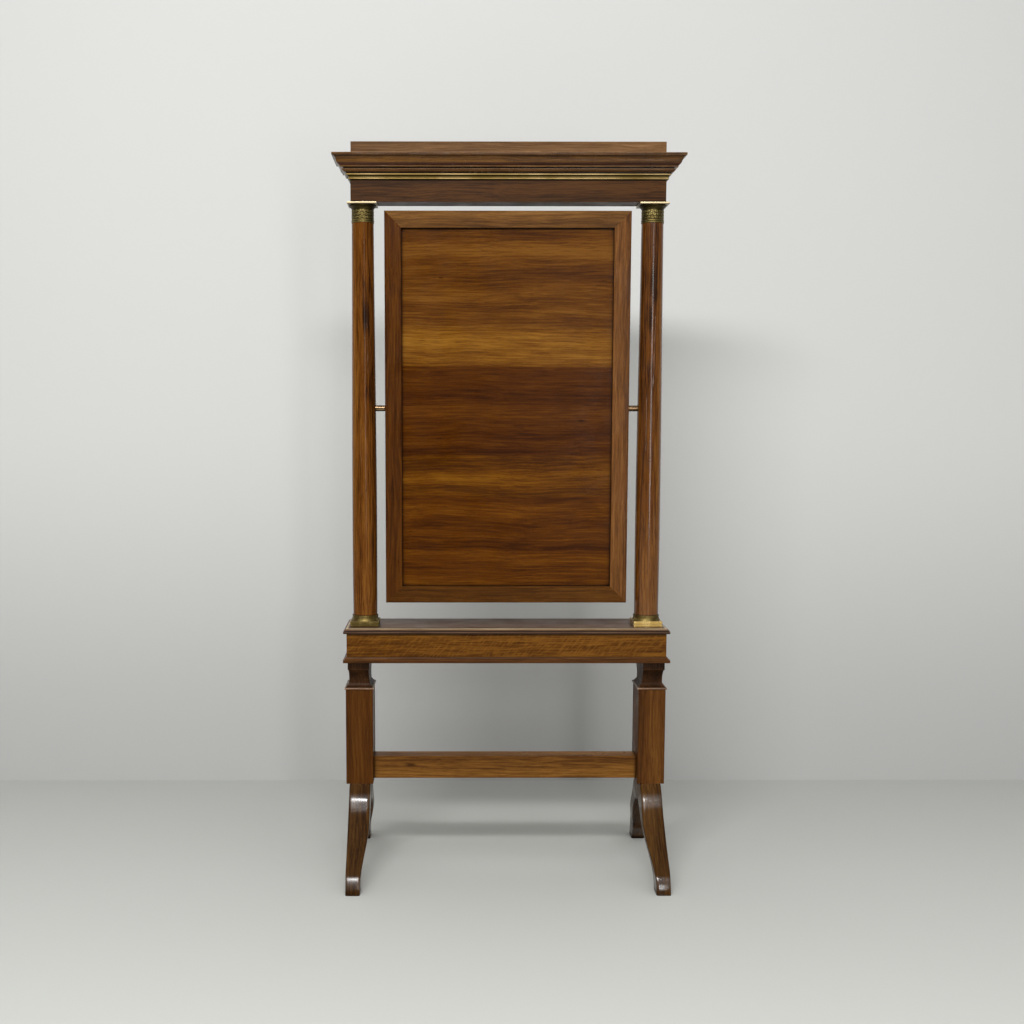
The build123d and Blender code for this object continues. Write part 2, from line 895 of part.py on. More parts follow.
with BuildPart() as attic_block:
    with Locations((0, column_y, attic_foot + attic_height / 2)):
        Box(frieze_length - 2 * attic_inset, frieze_depth - 2 * attic_inset, attic_height)
save(attic_block.part, "attic_block")


# Tilting mirror: mitred frame, wooden back panel, glass and glass beads
mirror_centre = Vector(0, column_y, mirror_centre_z)
panel_rear = mirror_rear + panel_recess
panel_front = panel_rear + panel_thickness
glass_front = panel_front + glass_thickness
bead_thickness = mirror_front - glass_front
rebate_inner = mirror_member_width - rebate_depth
plate_slack = 0.1


def frame_outline():
    """Frame section, x outward from the outer edge, y towards the glass side."""
    Polyline(
        (-arris, mirror_rear),
        (0, mirror_rear + arris),
        (0, mirror_front - arris),
        (-arris, mirror_front),
        (-rebate_inner, mirror_front),
        (-rebate_inner, panel_rear),
        (-mirror_member_width, panel_rear),
        (-mirror_member_width, mirror_rear + arris),
        (-mirror_member_width + arris, mirror_rear),
        close=True,
    )


def bead_outline():
    """Quarter-round bead that fills the rebate in front of the glass."""
    Line((0, glass_front), (0, mirror_front))
    Line((0, mirror_front), (-arris, mirror_front))
    bead_curve = SagittaArc(
        (-arris, mirror_front),
        (-rebate_depth, glass_front + 2 * arris),
        bead_thickness / 5,
    )
    Line(bead_curve @ 1, (-rebate_depth, glass_front))
    Line((-rebate_depth, glass_front), (0, glass_front))


mirror_sides = {
    "left": (-RIGHT, mirror_width, mirror_height),
    "right": (RIGHT, mirror_width, mirror_height),
    "bottom": (-UP, mirror_height, mirror_width),
    "top": (UP, mirror_height, mirror_width),
}


def pivot_plane(side, distance):
    """Plane across the pivot axis, at a distance from the middle, facing outward."""
    return Plane(
        origin=(side * distance, column_y, pivot_z),
        x_dir=UP,
        z_dir=RIGHT * side,
    )


def mirror_stile(side, member):
    """A stile, let in on its outer edge for the pivot plate, its bush and screws."""
    edge = mirror_width / 2
    with BuildPart() as stile:
        add(member)
        with BuildSketch(pivot_plane(side, edge)):
            Rectangle(plate_height + 2 * plate_slack, plate_width + 2 * plate_slack)
        extrude(amount=-plate_thickness, mode=Mode.SUBTRACT)
        with BuildSketch(pivot_plane(side, edge)):
            Circle(bush_diameter / 2 + plate_slack)
        extrude(amount=-pivot_depth, mode=Mode.SUBTRACT)
        with BuildSketch(pivot_plane(side, edge)):
            with Locations((-screw_spacing / 2, 0), (screw_spacing / 2, 0)):
                Circle(screw_diameter / 2 + plate_slack)
        extrude(amount=-screw_length - 1, mode=Mode.SUBTRACT)
    return stile.part


pivot_depth = journal_length + pivot_end_gap + bush_floor

for side_name, (outward, span, length) in mirror_sides.items():
    member = mitred_member(frame_outline, mirror_centre, outward, FRONT, span / 2, length)
    if side_name in sides:
        save(mirror_stile(sides[side_name], member), f"mirror_stile_{side_name}")
    else:
        save(member, f"mirror_rail_{side_name}")

panel_width = mirror_width - 2 * rebate_inner - 2 * glass_gap
panel_height = mirror_height - 2 * rebate_inner - 2 * glass_gap


def infill(rear, front):
    """A flat sheet that fills the rebate of the frame, between two depths."""
    with BuildPart() as sheet:
        with Locations(mirror_centre + FRONT * ((rear + front) / 2)):
            Box(panel_width, front - rear, panel_height)
    return sheet.part


save(infill(panel_rear, panel_front), "mirror_panel")
save(infill(panel_front, glass_front), "mirror_glass")

with BuildPart() as glass_beads:
    for outward, span, length in mirror_sides.values():
        rebate_reach = span / 2 - rebate_inner
        rebate_length = length - 2 * rebate_inner
        add(mitred_member(bead_outline, mirror_centre, outward, FRONT, rebate_reach, rebate_length))
save(glass_beads.part, "glass_beads")


# Pivots: a brass pin fixed in each column turns in a plated bush in the stile
def pivot_bush(side):
    edge = mirror_width / 2
    with BuildPart() as bush:
        with BuildSketch(pivot_plane(side, edge)):
            Rectangle(plate_height, plate_width)
        extrude(amount=-plate_thickness)
        with BuildSketch(pivot_plane(side, edge)):
            Circle(bush_diameter / 2)
        extrude(amount=-pivot_depth)
        with BuildSketch(pivot_plane(side, edge)):
            Circle(journal_diameter / 2 + running_clearance)
        extrude(amount=-pivot_depth + bush_floor, mode=Mode.SUBTRACT)
        with Locations(pivot_plane(side, edge)):
            with Locations((-screw_spacing / 2, 0, 0), (screw_spacing / 2, 0, 0)):
                CounterSinkHole(
                    screw_diameter / 2 + running_clearance,
                    screw_head_diameter / 2 + running_clearance,
                    depth=plate_thickness,
                    counter_sink_angle=90,
                )
    return bush.part


def pivot_pin(side):
    edge = mirror_width / 2
    collar_start = edge + pivot_end_gap
    seat = column_x - seat_from_axis
    with BuildPart() as pin:
        with BuildSketch(pivot_plane(side, edge - journal_length)):
            Circle(journal_diameter / 2)
        extrude(amount=journal_length + pivot_end_gap)
        with BuildSketch(pivot_plane(side, collar_start)):
            Circle(collar_diameter / 2)
        extrude(amount=seat - collar_start)
        with BuildSketch(pivot_plane(side, seat)):
            Circle(tail_diameter / 2)
        extrude(amount=tail_length)
    return pin.part


for side_name, side in sides.items():
    save(pivot_bush(side), f"pivot_bush_{side_name}")
    save(pivot_pin(side), f"pivot_pin_{side_name}")

with BuildPart() as pivot_screws:
    for side in sides.values():
        for end in (1, -1):
            head = pivot_plane(side, mirror_width / 2).shift_origin(
                (side * mirror_width / 2, column_y, pivot_z + end * screw_spacing / 2)
            )
            with BuildSketch(head):
                Circle(screw_diameter / 2)
            extrude(amount=-screw_length)
            with BuildSketch(head):
                Circle(screw_head_diameter / 2)
            with BuildSketch(head.offset(-(screw_head_diameter - screw_diameter) / 2)):
                Circle(screw_diameter / 2)
            loft()
save(pivot_screws.part, "pivot_screws")
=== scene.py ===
import math

import bpy
import numpy as np
from mathutils import Matrix, Vector


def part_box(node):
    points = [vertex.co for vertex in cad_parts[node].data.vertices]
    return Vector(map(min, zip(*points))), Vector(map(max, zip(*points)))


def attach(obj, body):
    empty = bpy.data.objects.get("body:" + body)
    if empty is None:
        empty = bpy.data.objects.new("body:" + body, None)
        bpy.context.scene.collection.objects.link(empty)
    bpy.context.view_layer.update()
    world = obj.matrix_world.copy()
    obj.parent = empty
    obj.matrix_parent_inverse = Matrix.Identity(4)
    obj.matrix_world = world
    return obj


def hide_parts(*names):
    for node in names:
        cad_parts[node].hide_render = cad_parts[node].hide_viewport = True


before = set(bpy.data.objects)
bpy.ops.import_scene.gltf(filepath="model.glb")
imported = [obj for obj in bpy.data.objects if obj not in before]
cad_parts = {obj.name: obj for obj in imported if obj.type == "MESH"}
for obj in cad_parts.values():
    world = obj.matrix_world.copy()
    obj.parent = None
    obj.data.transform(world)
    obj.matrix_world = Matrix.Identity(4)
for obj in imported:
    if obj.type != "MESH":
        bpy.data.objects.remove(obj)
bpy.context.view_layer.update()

# Camera: it stands behind the mirror, a little above its middle and slightly to
# the left, and looks slightly down. The lens shift puts the object where the
# photograph has it.
image_px = 1024
focal_px = 1250.0
centre_px = (452.56, 554.57)
sensor_mm = 36.0
camera_place = (-0.15656, -3.39464, 1.22282)
camera_pitch = -0.1044
camera_yaw = -0.0035
camera_roll = 0.0005

camera_data = bpy.data.cameras.new("camera")
camera_data.sensor_width = sensor_mm
camera_data.lens = focal_px * sensor_mm / image_px
camera_data.shift_x = (image_px / 2 - centre_px[0]) / image_px
camera_data.shift_y = (centre_px[1] - image_px / 2) / image_px
camera = bpy.data.objects.new("camera", camera_data)
bpy.context.scene.collection.objects.link(camera)
camera.matrix_world = (
    Matrix.Translation(camera_place)
    @ Matrix.Rotation(camera_yaw, 4, "Z")
    @ Matrix.Rotation(math.pi / 2 + camera_pitch, 4, "X")
    @ Matrix.Rotation(camera_roll, 4, "Z")
)
bpy.context.scene.camera = camera


# Sabre legs: four curved legs sawn from solid brown wood. Their polish has gone
# dull except at the knees and the toes, and their edges are pale, partly from wear and partly as a
# painted highlight.
def paint(red, green, blue):
    """Linear colour with alpha, from red, green and blue as they look, 0 to 255."""
    shown = np.array((red, green, blue)) / 255
    linear = np.where(shown <= 0.04045, shown / 12.92, ((shown + 0.055) / 1.055) ** 2.4)
    return (*linear.tolist(), 1.0)


def put(tree, kind, inputs=None, **settings):
    """Adds one shader node. An input is a value, or the output of another node."""
    node = tree.nodes.new(kind)
    for key, value in settings.items():
        setattr(node, key, value)
    for key, value in (inputs or {}).items():
        if isinstance(value, bpy.types.NodeSocket):
            tree.links.new(value, node.inputs[key])
        else:
            node.inputs[key].default_value = value
    return node


def math_node(tree, operation, first, second=0.0, clamp=False):
    """The result of one sum on two numbers."""
    node = put(tree, "ShaderNodeMath", {0: first, 1: second}, operation=operation)
    node.use_clamp = clamp
    return node.outputs[0]


def vector_node(tree, operation, first, second):
    """The result of one sum on two vectors."""
    node = put(tree, "ShaderNodeVectorMath", {0: first, 1: second}, operation=operation)
    return node.outputs[0]


def part_of(tree, vector, axis):
    """One of the three numbers of a vector."""
    return put(tree, "ShaderNodeSeparateXYZ", {"Vector": vector}).outputs[axis]


def noise(tree, place, scale, detail, roughness=0.5):
    """Soft random tone, mostly between 0.3 and 0.7."""
    inputs = {"Vector": place, "Scale": scale, "Detail": detail, "Roughness": roughness}
    return put(tree, "ShaderNodeTexNoise", inputs).outputs[0]


def blend_colour(tree, factor, first, second, how="MIX"):
    """First colour where factor is 0 and second where it is 1."""
    node = tree.nodes.new("ShaderNodeMix")
    node.data_type = "RGBA"
    node.blend_type = how
    sockets = [node.inputs[0], *(s for s in node.inputs if s.type == "RGBA")]
    for socket, value in zip(sockets, (factor, first, second)):
        if isinstance(value, bpy.types.NodeSocket):
            tree.links.new(value, socket)
        else:
            socket.default_value = value
    return next(s for s in node.outputs if s.type == "RGBA")


def ramp(tree, factor, stops):
    """Colours along a 0 to 1 factor, from (place, colour) pairs."""
    node = put(tree, "ShaderNodeValToRGB", {"Fac": factor})
    elements = node.color_ramp.elements
    while len(elements) < len(stops):
        elements.new(0.5)
    for element, (place, colour) in zip(elements, stops):
        element.position = place
        element.color = colour
    return node.outputs["Color"]


def smooth_step(tree, value, low, high):
    """0 below low, 1 above high, and a soft rise between them."""
    node = put(
        tree,
        "ShaderNodeMapRange",
        {"Value": value, "From Min": low, "From Max": high},
        interpolation_type="SMOOTHSTEP",
    )
    return node.outputs["Result"]


def band(tree, value, low, high, soft):
    """1 between low and high, 0 outside them, and a soft change at each."""
    rise = smooth_step(tree, value, low - soft, low + soft)
    fall = smooth_step(tree, value, high - soft, high + soft)
    return math_node(tree, "SUBTRACT", rise, fall, clamp=True)


def edge_mask(tree, width):
    """How far a point lies on an outside or inside edge, with the rounded normal."""
    rounded = put(tree, "ShaderNodeBevel", {"Radius": width}, samples=6).outputs["Normal"]
    true_normal = put(tree, "ShaderNodeNewGeometry").outputs["Normal"]
    match = put(tree, "ShaderNodeVectorMath", {0: rounded, 1: true_normal}, operation="DOT_PRODUCT")
    bend = math_node(tree, "SUBTRACT", 1.0, match.outputs["Value"])
    return smooth_step(tree, bend, 0.004, 0.12), rounded


along_grain = {"X": (0.035, 1.0, 1.0), "Y": (1.0, 0.035, 1.0), "Z": (1.0, 1.0, 0.035)}
knot_stretch = {"X": (0.3, 1.0, 1.0), "Y": (1.0, 0.3, 1.0), "Z": (1.0, 1.0, 0.22)}
wander_reach = 0.03
streak_scale = 210.0
tone_scale = 21.0
pore_scale = 700.0
fleck_scale = 300.0
fleck_slant = 0.75
board_soft = 0.004
line_soft = 0.0008
widest_line = 0.02
polish_outer_soft = 0.008
polish_inner_soft = 0.004


def polished_wood(
    name,
    dark,
    body,
    light,
    grain,
    gloss=0.32,
    shine=0.07,
    figure=0.0,
    edge=0.0012,
    edge_wear_and_glint=0.45,
    worn_and_lit_edge=None,
    shift=0.0,
    shade_reach=0.012,
    tone_and_light_bands=(),
    knots=(),
    follow=None,
    shiny=(),
    relief=0.25,
):
    """French-polished wood with its grain along one axis.

    Streaks and broad tone bands are noise drawn out along the grain, pores are
    fine dark lines, and figure adds slanting flecks of light. The bands hold the
    (low, high, gain) heights and colour gains of boards and lines of another
    tone, some of them painted highlights and painted shadows, and knots the (place, radius) of dark
    knots. follow names an attribute that runs with the piece's own shape. Where shiny is given,
    polish is left only in its (low, high) stretches. Crevices get painted shade, and edges are
    lightened, partly as wear and partly as a painted highlight.
    """
    material = bpy.data.materials.new(name)
    material.use_nodes = True
    tree = material.node_tree
    shader = tree.nodes["Principled BSDF"]
    if follow:
        place = put(tree, "ShaderNodeAttribute", attribute_name=follow).outputs["Vector"]
    else:
        place = put(tree, "ShaderNodeTexCoord").outputs["Object"]
    wander = put(tree, "ShaderNodeTexNoise", {"Vector": place, "Scale": 2.6, "Detail": 2.0})
    either_way = vector_node(tree, "SUBTRACT", wander.outputs["Color"], (0.5,) * 3)
    drift = vector_node(tree, "MULTIPLY", either_way, (wander_reach,) * 3)
    wavy = vector_node(tree, "ADD", place, drift)
    moved = (shift, shift * 0.7, shift * 1.3)
    drawn = put(
        tree,
        "ShaderNodeMapping",
        {"Vector": wavy, "Location": moved, "Scale": along_grain[grain]},
    ).outputs[0]
    streak = noise(tree, drawn, streak_scale, 7.0, 0.74)
    tone = noise(tree, drawn, tone_scale, 4.0)
    pore = noise(tree, drawn, pore_scale, 2.0)
    streak_part = math_node(tree, "MULTIPLY", streak, 0.55)
    mixed = math_node(tree, "ADD", streak_part, math_node(tree, "MULTIPLY", tone, 0.45))
    colour = ramp(tree, mixed, ((0.39, dark), (0.5, body), (0.61, light)))
    if figure:
        slant = put(
            tree,
            "ShaderNodeMapping",
            {"Vector": wavy, "Rotation": (0.0, fleck_slant, 0.0), "Scale": (1.0, 1.0, 7.0)},
            vector_type="TEXTURE",
        ).outputs[0]
        fleck = noise(tree, slant, fleck_scale, 3.0)
        shimmer = math_node(tree, "MULTIPLY", smooth_step(tree, fleck, 0.48, 0.62), figure)
        shimmer = math_node(tree, "MULTIPLY", shimmer, smooth_step(tree, tone, 0.42, 0.56))
        colour = blend_colour(tree, shimmer, colour, light)
    for low, high, gain in tone_and_light_bands:
        thin = high - low < widest_line
        height = part_of(tree, place if thin else wavy, "Z")
        board = band(tree, height, low, high, line_soft if thin else board_soft)
        toned = blend_colour(tree, 1.0, colour, (*gain, 1.0), "MULTIPLY")
        colour = blend_colour(tree, board, colour, toned)
    deep = tuple(0.3 * c for c in dark[:3]) + (1.0,)
    for knot_place, radius in knots:
        off = vector_node(tree, "SUBTRACT", wavy, knot_place)
        flat = vector_node(tree, "MULTIPLY", off, knot_stretch[grain])
        away = put(tree, "ShaderNodeVectorMath", {0: flat}, operation="LENGTH").outputs["Value"]
        ragged = math_node(tree, "ADD", away, math_node(tree, "MULTIPLY", streak, radius))
        outside = smooth_step(tree, ragged, 0.6 * radius, 1.6 * radius)
        heart = math_node(tree, "SUBTRACT", 1.0, outside)
        colour = blend_colour(tree, math_node(tree, "MULTIPLY", heart, 0.85), colour, deep)
    pore_mask = smooth_step(tree, pore, 0.56, 0.7)
    colour = blend_colour(tree, math_node(tree, "MULTIPLY", pore_mask, 0.5), colour, dark)
    # Edges are lightened towards the edge colour: partly wear, partly a painted highlight, kept off
    # edges that face down.
    on_edge, rounded = edge_mask(tree, edge)
    wear_and_glint = math_node(tree, "MULTIPLY", noise(tree, place, 60.0, 3.0), 2.0 * edge_wear_and_glint)
    rubbed = math_node(tree, "MULTIPLY", on_edge, wear_and_glint, clamp=True)
    facing_up = smooth_step(tree, part_of(tree, rounded, "Z"), -0.35, 0.0)
    rubbed = math_node(tree, "MULTIPLY", rubbed, facing_up)
    colour = blend_colour(tree, rubbed, colour, worn_and_lit_edge or light)
    # Painted shade: ambient occlusion darkens crevices, corners and gaps towards the deep colour.
    hollow = put(tree, "ShaderNodeAmbientOcclusion", {"Distance": shade_reach}, samples=8)
    painted_crevice_shade = math_node(tree, "SUBTRACT", 1.0, smooth_step(tree, hollow.outputs["AO"], 0.46, 0.9))
    colour = blend_colour(tree, math_node(tree, "MULTIPLY", painted_crevice_shade, 0.95), colour, deep)
    tree.links.new(colour, shader.inputs["Base Color"])
    rough = put(
        tree,
        "ShaderNodeMapRange",
        {
            "Value": noise(tree, place, 14.0, 5.0),
            "From Min": 0.3,
            "From Max": 0.7,
            "To Min": gloss - 0.07,
            "To Max": gloss + 0.1,
        },
    )
    tree.links.new(rough.outputs["Result"], shader.inputs["Roughness"])
    ridges = math_node(tree, "MULTIPLY", streak, 0.5)
    surface = math_node(tree, "SUBTRACT", ridges, math_node(tree, "MULTIPLY", pore_mask, 0.6))
    grain_bump = {"Height": surface, "Strength": relief, "Distance": 0.0004, "Normal": rounded}
    bump = put(tree, "ShaderNodeBump", grain_bump)
    tree.links.new(bump.outputs["Normal"], shader.inputs["Normal"])
    shader.inputs["Specular IOR Level"].default_value = shine
    polish = 0.0
    for low, high in shiny:
        run = part_of(tree, place, "Z")
        rise = smooth_step(tree, run, low - polish_outer_soft, low + polish_inner_soft)
        fall = smooth_step(tree, run, high - polish_inner_soft, high + polish_outer_soft)
        polish = math_node(tree, "ADD", polish, math_node(tree, "SUBTRACT", rise, fall))
    if shiny:
        level = math_node(tree, "ADD", math_node(tree, "MULTIPLY", polish, shine), 0.05)
        tree.links.new(level, shader.inputs["Specular IOR Level"])
    return material


def finish(material, *names):
    """Gives one finish to the named CAD nodes."""
    for name in names:
        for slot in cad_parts[name].material_slots:
            slot.material = material


def smooth_curve(points, count):
    """A curve through the points.

    Between two points it is the cubic whose slope at each of them is half the
    step from the point before to the point after.
    """
    knots = np.array(points, float)
    padded = np.vstack((2 * knots[0] - knots[1], knots, 2 * knots[-1] - knots[-2]))
    place = np.linspace(0, len(knots) - 1, count)
    start = np.minimum(place.astype(int), len(knots) - 2)
    t = (place - start)[:, None]
    before, here, after, beyond = (padded[start + k] for k in range(4))
    return 0.5 * (
        2 * here
        + (after - before) * t
        + (2 * before - 5 * here + 4 * after - beyond) * t**2
        + (3 * here - before - 3 * after + beyond) * t**3
    )


# The back and the belly are (out from the middle, height) points from joint to
# foot. The outer and inner faces are given at the foot and at the taper's top.
leg_top = 0.241
leg_back = ((0.0527, 0.241), (0.079, 0.211), (0.099, 0.176), (0.127, 0.142), (0.160, 0.110))
leg_back += ((0.194, 0.080), (0.226, 0.053), (0.244, 0.027), (0.252, 0.0))
leg_belly = ((0.0, 0.192), (0.020, 0.181), (0.045, 0.161), (0.075, 0.134), (0.1165, 0.097))
leg_belly += ((0.158, 0.060), (0.186, 0.027), (0.202, 0.0))
leg_outer = (0.4250, 0.4275)
leg_inner = (0.3865, 0.3695)
taper_foot = 0.025
taper_top = 0.150
corner_power = 9.0
leg_sides = 56
leg_wood = polished_wood(
    "leg_wood",
    paint(40, 22, 8),
    paint(70, 45, 18),
    paint(98, 66, 30),
    "Z",
    gloss=0.2,
    shine=0.6,
    edge=0.002,
    edge_wear_and_glint=0.6,
    worn_and_lit_edge=paint(150, 118, 88),
    follow="along_leg",
    shiny=((0.053, 0.075), (0.280, 0.308)),
)


def sabre_leg(name, side, front):
    """A leg as rounded rectangles carried from its middle joint to its foot.

    Each section runs from a point of the belly to a point of the back. Its
    outline is the curve on which the ninth powers of the two half widths add
    up to one, and its width follows the taper of the leg at that height.
    """
    sections = 90
    fan = 14
    back = np.vstack(
        (
            np.stack((np.linspace(0, leg_back[0][0], fan), np.full(fan, leg_top)), -1)[:-1],
            smooth_curve(leg_back, sections),
        )
    )
    pinned = np.repeat([leg_belly[0]], fan - 1, axis=0)
    belly = np.vstack((pinned, smooth_curve(leg_belly, sections)))
    turn = np.arange(leg_sides) * 2 * np.pi / leg_sides
    across = np.sign(np.cos(turn)) * np.abs(np.cos(turn)) ** (2 / corner_power)
    deep = np.sign(np.sin(turn)) * np.abs(np.sin(turn)) ** (2 / corner_power)
    middle_line = (back + belly) / 2
    half_depth = (back - belly) / 2
    spot = middle_line[:, None, :] + deep[None, :, None] * half_depth[:, None, :]
    height = spot[..., 1]
    taper = np.clip((height - taper_foot) / (taper_top - taper_foot), 0, 1)
    inner = leg_inner[0] + (leg_inner[1] - leg_inner[0]) * taper**2 * (3 - 2 * taper)
    outer = leg_outer[0] + (leg_outer[1] - leg_outer[0]) * np.clip(height / taper_top, 0, 1)
    width = (inner + outer) / 2 + across[None, :] * (outer - inner) / 2
    points = np.stack((side * width, front * spot[..., 0], height), -1).reshape(-1, 3)
    rings, ring = height.shape
    here = np.arange(rings * ring).reshape(rings, ring)
    beside = np.roll(here, -1, axis=1)
    walls = np.stack((here[:-1], beside[:-1], beside[1:], here[1:]), -1).reshape(-1, 4)
    ends = [here[0][::-1], here[-1]]
    if side * front > 0:
        walls = walls[:, ::-1]
        ends = [end[::-1] for end in ends]
    mesh = bpy.data.meshes.new(name)
    mesh.from_pydata(points.tolist(), [], walls.tolist() + [end.tolist() for end in ends])
    mesh.polygons.foreach_set("use_smooth", np.ones(len(mesh.polygons), bool))
    mesh.set_sharp_from_angle(angle=math.radians(40))
    steps = np.linalg.norm(np.diff(middle_line, axis=0), axis=1)
    along = np.broadcast_to(np.concatenate(([0], np.cumsum(steps)))[:, None], height.shape)
    thick = deep[None, :] * np.linalg.norm(half_depth, axis=1)[:, None]
    grain_place = np.stack((side * width + front, thick, along), -1).astype(np.float32)
    attribute = mesh.attributes.new("along_leg", "FLOAT_VECTOR", "POINT")
    attribute.data.foreach_set("vector", grain_place.ravel())
    mesh.materials.append(leg_wood)
    leg = bpy.data.objects.new(name, mesh)
    bpy.context.scene.collection.objects.link(leg)
    return leg


for side_name, side in (("left", -1), ("right", 1)):
    for end_name, front in (("front", 1), ("rear", -1)):
        leg = sabre_leg(f"sabre_leg_{end_name}_{side_name}", side, front)
        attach(leg, "stand")
        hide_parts(f"leg_{end_name}_{side_name}")

# Posts and stretcher: square uprights and a low rail of the same wood, planed
# and polished. The rail's grain runs across and has a small feathered mark.
dark_post_wood = polished_wood(
    "dark_post_wood", paint(54, 27, 5), paint(77, 42, 8), paint(94, 57, 16), "Z", shift=0.5
)
finish(dark_post_wood, "post_left")
post_wood = polished_wood(
    "post_wood", paint(58, 31, 8), paint(87, 51, 17), paint(108, 69, 28), "Z"
)
finish(post_wood, "post_right")
stretcher_wood = polished_wood(
    "stretcher_wood",
    paint(76, 44, 15),
    paint(118, 77, 30),
    paint(148, 102, 46),
    "X",
    shift=0.4,
    knots=(((-0.262, -0.0255, 0.285), 0.007), ((-0.18, -0.0255, 0.302), 0.003)),
)
finish(stretcher_wood, "stretcher")

# Caps and necks: a thin rounded plate on each post with pale edges, partly worn
# and partly a painted highlight, and over it a hollowed block whose wood has taken the polish
# darker.
cap_wood = polished_wood(
    "cap_wood",
    paint(60, 38, 22),
    paint(100, 70, 44),
    paint(140, 106, 78),
    "X",
    gloss=0.25,
    shine=0.4,
    edge=0.0022,
    edge_wear_and_glint=1.2,
    worn_and_lit_edge=paint(226, 196, 168),
)
finish(cap_wood, "post_cap_left", "post_cap_right")
neck_wood = polished_wood(
    "neck_wood", paint(30, 17, 7), paint(54, 32, 15), paint(76, 48, 26), "Z", shift=0.9
)
finish(neck_wood, "neck_left", "neck_right")

# Drawer case: a long rear board and two end blocks in golden figured veneer,
# between moulded boards. The top board is dark and even; its greyish tone is partly a painted
# sheen.
case_wood = polished_wood(
    "case_wood",
    paint(52, 28, 4),
    paint(84, 47, 8),
    paint(124, 80, 24),
    "X",
    figure=0.6,
    shift=0.2,
)
finish(case_wood, "rear_board", "end_block_left", "end_block_right")
board_wood_with_painted_light = polished_wood(
    "board_wood_with_painted_light",
    paint(56, 37, 24),
    paint(84, 58, 40),
    paint(106, 78, 56),
    "X",
    gloss=0.36,
    shine=0.18,
    edge_wear_and_glint=0.5,
    # Painted light: a pale painted highlight along the top board's nose, and a painted shadow line
    # under the board.
    tone_and_light_bands=((0.6753, 0.6763, (6.0, 9.5, 11.0)), (0.6630, 0.6660, (0.3, 0.3, 0.3))),
)
finish(board_wood_with_painted_light, "top_board")
base_wood = polished_wood(
    "base_wood",
    paint(50, 28, 10),
    paint(80, 48, 20),
    paint(108, 70, 34),
    "X",
    edge=0.002,
    edge_wear_and_glint=0.7,
    shift=0.7,
)
finish(base_wood, "base_board")

# Drawer: a front veneered like the case, and pale lining wood behind it, dry
# and unpolished. Runners and stops are glued in the case.
finish(case_wood, "drawer_front")
lining_wood = polished_wood(
    "lining_wood",
    paint(118, 86, 52),
    paint(166, 132, 90),
    paint(196, 166, 122),
    "X",
    gloss=0.62,
    edge_wear_and_glint=0.1,
)
finish(lining_wood, "drawer_back", "drawer_floor", "drawer_stops")
side_wood = polished_wood(
    "side_wood",
    paint(112, 82, 50),
    paint(160, 128, 88),
    paint(190, 160, 118),
    "Y",
    gloss=0.62,
    edge_wear_and_glint=0.1,
)
finish(side_wood, "drawer_side_left", "drawer_side_right", "drawer_runners")


# Drawer knobs and their nuts: turned brass, polished by hands on the outside
# and brown with age in the corners.
speck_scale = 520.0
brass_edge = 0.0007


def aged_brass(
    name, bright, dull, tarnish, gloss=0.28, age=0.5, patch_scale=55.0, rubbed=None, stained_and_shaded=()
):
    """Brass that is bright on its edges, dull in patches and dark in its corners.

    rubbed names an attribute that is 1 where hands and cloths keep it bright,
    and the stained heights are (low, high) bands darkened to tarnish: some are dark hollows, some
    painted shadow lines.
    """
    material = bpy.data.materials.new(name)
    material.use_nodes = True
    tree = material.node_tree
    shader = tree.nodes["Principled BSDF"]
    place = put(tree, "ShaderNodeTexCoord").outputs["Object"]
    patch = noise(tree, place, patch_scale, 6.0)
    speck = noise(tree, place, speck_scale, 3.0)
    on_edge, rounded = edge_mask(tree, brass_edge)
    clean = math_node(tree, "MULTIPLY", smooth_step(tree, patch, 0.4, 0.7), 0.5)
    colour = blend_colour(tree, clean, dull, bright)
    if rubbed:
        raised = put(tree, "ShaderNodeAttribute", attribute_name=rubbed).outputs["Fac"]
        colour = blend_colour(tree, raised, tarnish, colour)
    colour = blend_colour(tree, math_node(tree, "MULTIPLY", on_edge, 0.7), colour, bright)
    height = part_of(tree, place, "Z")
    for low, high in stained_and_shaded:
        stain_and_shade = math_node(tree, "MULTIPLY", band(tree, height, low, high, line_soft), 0.85)
        colour = blend_colour(tree, stain_and_shade, colour, tarnish)
    # Faces that point down turn towards tarnish: partly tarnish, partly painted shade.
    facing_up = smooth_step(tree, part_of(tree, rounded, "Z"), -0.95, -0.55)
    under = math_node(tree, "SUBTRACT", 1.0, facing_up)
    colour = blend_colour(tree, math_node(tree, "MULTIPLY", under, age), colour, tarnish)
    hollow = put(tree, "ShaderNodeAmbientOcclusion", {"Distance": 0.006}, samples=8)
    depth = math_node(tree, "SUBTRACT", 1.0, smooth_step(tree, hollow.outputs["AO"], 0.35, 0.95))
    colour = blend_colour(tree, math_node(tree, "MULTIPLY", depth, age), colour, tarnish)
    pitted = math_node(tree, "MULTIPLY", smooth_step(tree, speck, 0.6, 0.75), 0.5 * age)
    colour = blend_colour(tree, pitted, colour, tarnish)
    tree.links.new(colour, shader.inputs["Base Color"])
    shading = {"Value": patch, "To Min": gloss + 0.14, "To Max": gloss - 0.1}
    rough = put(tree, "ShaderNodeMapRange", shading)
    tree.links.new(rough.outputs["Result"], shader.inputs["Roughness"])
    cast_skin = {"Height": speck, "Strength": 0.12, "Distance": 0.0003, "Normal": rounded}
    bump = put(tree, "ShaderNodeBump", cast_skin)
    tree.links.new(bump.outputs["Normal"], shader.inputs["Normal"])
    shader.inputs["Metallic"].default_value = 1.0
    return material


gilt_brass = aged_brass(
    "gilt_brass", paint(236, 208, 144), paint(190, 156, 90), paint(60, 46, 20)
)
finish(gilt_brass, "drawer_knob_left", "drawer_knob_right", "knob_nuts")

